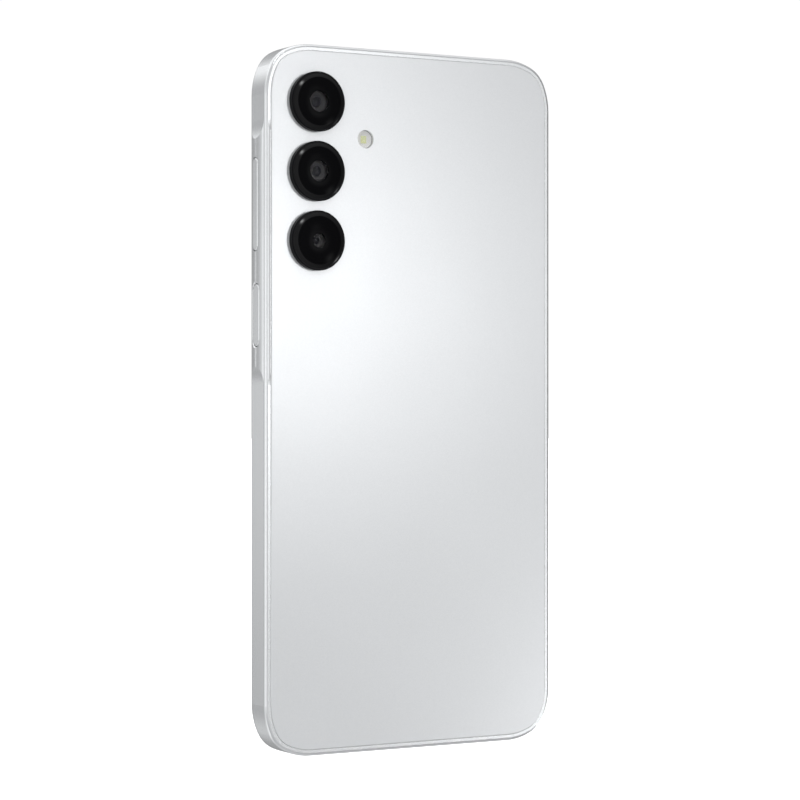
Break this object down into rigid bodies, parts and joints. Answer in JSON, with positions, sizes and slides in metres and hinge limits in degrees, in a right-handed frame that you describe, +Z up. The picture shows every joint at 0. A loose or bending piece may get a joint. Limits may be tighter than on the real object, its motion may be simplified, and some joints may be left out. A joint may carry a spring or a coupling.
{
  "type": "smartphone",
  "caption": "Slab smartphone with a rounded-corner frame, raised side-key island, separate round camera bezels on the back, card tray, port and full working interior.",
  "frame": {"origin": "middle of the bottom edge, at the mouth of the charging port", "axes": "+Z up the length, +Y out of the back cover, +X towards the side with the keys"},
  "size_m": [0.0786, 0.0097, 0.1644],
  "materials": {
    "frame": "pearl grey lacquer, semi-gloss",
    "cover": "pale grey metallic lacquer under a clear gloss coat",
    "ring": "gloss black",
    "lens_glass": "black-printed, polished bevel",
    "flash_glass": "clear, frosted rim",
    "led": "yellow phosphor",
    "display_glass": "polished cover glass",
    "display": "black when off",
    "adhesive": "black foam tape",
    "mesh": "black woven mesh",
    "sensor": "lacquered to match the frame",
    "black_plastic": "moulded black",
    "alloy": "die cast, sand blasted",
    "board": "solder mask",
    "steel": "stamped sheet",
    "weight": "sintered, plated",
    "chip": "black encapsulation",
    "flex": "polyimide film",
    "cable": "black jacket",
    "battery_foil": "laminated foil with black wrap",
    "rubber": "moulded silicone",
    "cone": "pressed film"
  },
  "bodies": {
    "chassis": {"antenna_coax": "cable", "back_cover": "cover", "battery": "battery_foil", "battery_adhesive": "adhesive", "battery_connector": "flex", "board_chips": "chip", "board_cover": "black_plastic", "board_screws": "steel", "camera_glass_lower": "lens_glass", "camera_glass_middle": "lens_glass", "camera_glass_upper": "lens_glass", "camera_ring_lower": "ring", "camera_ring_middle": "ring", "camera_ring_upper": "ring", "card_reader": "steel", "cover_adhesive": "adhesive", "display_flex": "flex", "display_panel": "display", "earpiece_housing": "black_plastic", "earpiece_mesh": "mesh", "flash_led": "led", "flash_window": "flash_glass", "front_adhesive": "adhesive", "front_camera": "black_plastic", "front_glass": "display_glass", "interconnect_flex": "flex", "key_flex": "flex", "macro_camera": "black_plastic", "main_camera_housing": "black_plastic", "mainboard": "board", "microphones": "chip", "mid_plate": "alloy", "motor_case": "steel", "nfc_antenna": "flex", "power_dome": "steel", "processor_shield": "steel", "radio_shield": "steel", "side_frame": "frame", "speaker_box": "black_plastic", "speaker_magnet": "weight", "speaker_mesh": "mesh", "speaker_surround": "rubber", "sub_board": "board", "sub_board_screws": "steel", "usb_shell": "steel", "usb_tongue": "black_plastic", "volume_domes": "steel", "wide_camera": "black_plastic"},
    "volume_rocker": {"volume_rocker": "frame"},
    "power_key": {"power_key": "frame", "fingerprint_sensor": "sensor"},
    "card_tray": {"card_tray": "frame", "tray_seal": "rubber"},
    "eject_rod": {"eject_rod": "steel"},
    "eject_lever": {"eject_lever": "steel"},
    "focus_barrel": {"main_camera_barrel": "black_plastic"},
    "motor_rotor": {"motor_rotor": "weight"},
    "speaker_diaphragm": {"speaker_diaphragm": "cone"},
    "earpiece_diaphragm": {"earpiece_diaphragm": "cone"}
  },
  "joints": [
    {"name": "volume_rocker_tilt", "type": "hinge", "parent": "chassis", "child": "volume_rocker", "pos_m": [0.037, 0, 0.12715], "axis": [0, 1, 0], "range_deg": [-1.1, 1.1], "stiffness_Nm_per_rad": 0.4, "deforming": ["volume_domes"]},
    {"name": "power_key_press", "type": "slide", "parent": "chassis", "child": "power_key", "axis": [-1, 0, 0], "range_m": [0, 0.00025], "stiffness_N_per_m": 4000, "deforming": ["power_dome"]},
    {"name": "card_tray_slide", "type": "slide", "parent": "chassis", "child": "card_tray", "axis": [-1, 0, 0], "range_m": [0, 0.026]},
    {"name": "eject_rod_push", "type": "slide", "parent": "chassis", "child": "eject_rod", "axis": [1, 0, 0], "range_m": [0, 0.0012]},
    {"name": "eject_lever_swing", "type": "hinge", "parent": "chassis", "child": "eject_lever", "pos_m": [-0.0101, -0.00105, 0.14135], "axis": [0, 1, 0], "range_deg": [0, 14]},
    {"name": "focus_travel", "type": "slide", "parent": "chassis", "child": "focus_barrel", "axis": [0, 1, 0], "range_m": [0, 0.0003], "stiffness_N_per_m": 100},
    {"name": "motor_spin", "type": "hinge", "parent": "chassis", "child": "motor_rotor", "pos_m": [-0.027, 0.0015, 0.016], "axis": [0, 1, 0], "continuous": true},
    {"name": "speaker_stroke", "type": "slide", "parent": "chassis", "child": "speaker_diaphragm", "axis": [0, 1, 0], "range_m": [-0.00025, 0.00025], "stiffness_N_per_m": 1000, "deforming": ["speaker_surround"]},
    {"name": "earpiece_stroke", "type": "slide", "parent": "chassis", "child": "earpiece_diaphragm", "axis": [0, 1, 0], "range_m": [-0.0001, 0.0001], "stiffness_N_per_m": 800}
  ],
  "couplings": [
    {"joint": "eject_lever_swing", "follows": "eject_rod_push", "rad_per_m": 202.02}
  ]
}
